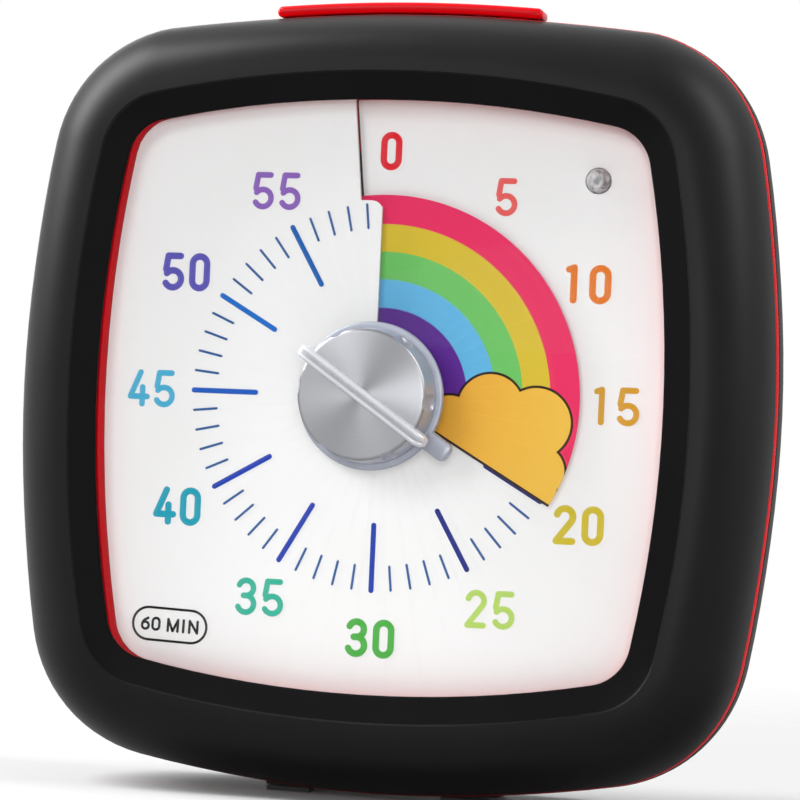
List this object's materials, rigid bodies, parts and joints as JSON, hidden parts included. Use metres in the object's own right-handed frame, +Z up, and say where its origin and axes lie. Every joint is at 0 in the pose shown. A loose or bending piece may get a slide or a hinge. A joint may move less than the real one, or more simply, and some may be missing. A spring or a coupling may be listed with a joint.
{
  "type": "visual countdown timer",
  "caption": "Free-standing visual countdown timer: rounded square housing, clear window, split spiral dial and a coloured disc wound out by a front knob.",
  "frame": {"origin": "on the surface it stands on, under the middle of its width and depth", "axes": "+X to the right seen from the front, +Y into the depth so that the dial faces -Y, +Z up"},
  "size_m": [0.19, 0.064, 0.1987],
  "materials": {
    "black_plastic": "satin moulded ABS",
    "red_plastic": "smooth moulded ABS",
    "clear_plastic": "clear acrylic",
    "dial_print": "printed white sheet",
    "disc_film": "printed film",
    "white_plastic": "moulded acetal",
    "silver_plastic": "satin silver lacquer on ABS",
    "steel": "zinc plated",
    "brass": "turned and stamped",
    "copper_wire": "enamelled winding",
    "board_laminate": "solder mask",
    "cell_jacket": "plain wrapped cell",
    "foot_rubber": "matt"
  },
  "bodies": {
    "housing": {"front_bezel": "black_plastic", "mid_frame": "red_plastic", "lens": "clear_plastic", "dial_plate": "dial_print", "dial_screw_1": "steel", "dial_screw_2": "steel", "dial_screw_3": "steel", "dial_screw_4": "steel", "spindle_bushing": "brass", "reduction_axle": "steel", "motor_stator": "steel", "motor_coil": "copper_wire", "movement_base": "white_plastic", "movement_cover": "white_plastic", "movement_screw_1": "steel", "movement_screw_2": "steel", "movement_screw_3": "steel", "movement_screw_4": "steel", "rear_shell": "black_plastic", "case_screw_1": "steel", "case_screw_2": "steel", "case_screw_3": "steel", "case_screw_4": "steel", "battery_upper": "cell_jacket", "battery_lower": "cell_jacket", "contact_positive": "steel", "contact_negative": "steel", "contact_bridge": "steel", "circuit_board": "board_laminate", "buzzer": "brass", "volume_switch": "steel", "alert_switch": "steel", "alarm_lamp": "clear_plastic", "foot_front_1": "foot_rubber", "foot_front_2": "foot_rubber", "foot_rear_1": "foot_rubber", "foot_rear_2": "foot_rubber"},
    "knob": {"knob": "silver_plastic", "spindle": "steel", "spindle_clip": "steel", "clutch_spring": "steel", "centre_wheel": "brass"},
    "disc": {"time_disc": "disc_film", "disc_hub": "white_plastic"},
    "reduction": {"reduction_gear": "white_plastic"},
    "rotor": {"motor_rotor": "steel"},
    "handle": {"carry_handle": "red_plastic"},
    "door": {"battery_door": "black_plastic"},
    "volume": {"volume_slider": "white_plastic"},
    "alert": {"alert_slider": "white_plastic"}
  },
  "joints": [
    {"name": "knob_turn", "type": "hinge", "parent": "housing", "child": "knob", "pos_m": [0, -0.02, 0.0975], "axis": [0, 1, 0], "range_deg": [-120, 240]},
    {"name": "disc_climb", "type": "slide", "parent": "knob", "child": "disc", "axis": [0, -1, 0], "range_m": [-0.00102, 0.00204]},
    {"name": "reduction_turn", "type": "hinge", "parent": "housing", "child": "reduction", "pos_m": [-0.01061, 0.003, 0.10811], "axis": [0, 1, 0], "range_deg": [-965, 485]},
    {"name": "rotor_turn", "type": "hinge", "parent": "housing", "child": "rotor", "pos_m": [0.00293, 0.006, 0.11303], "axis": [0, 1, 0], "range_deg": [-1445, 2885]},
    {"name": "handle_lift", "type": "slide", "parent": "housing", "child": "handle", "axis": [0, 0, 1], "range_m": [0, 0.026]},
    {"name": "door_tilt", "type": "hinge", "parent": "housing", "child": "door", "pos_m": [0, 0.0314, 0.0344], "axis": [-1, 0, 0], "range_deg": [0, 75]},
    {"name": "volume_slide", "type": "slide", "parent": "housing", "child": "volume", "axis": [1, 0, 0], "range_m": [-0.003, 0.003]},
    {"name": "alert_slide", "type": "slide", "parent": "housing", "child": "alert", "axis": [1, 0, 0], "range_m": [0, 0.004]}
  ],
  "couplings": [
    {"joint": "disc_climb", "follows": "knob_turn", "m_per_rad": 0.00047746},
    {"joint": "reduction_turn", "follows": "knob_turn", "ratio": -4},
    {"joint": "rotor_turn", "follows": "knob_turn", "ratio": 12}
  ]
}
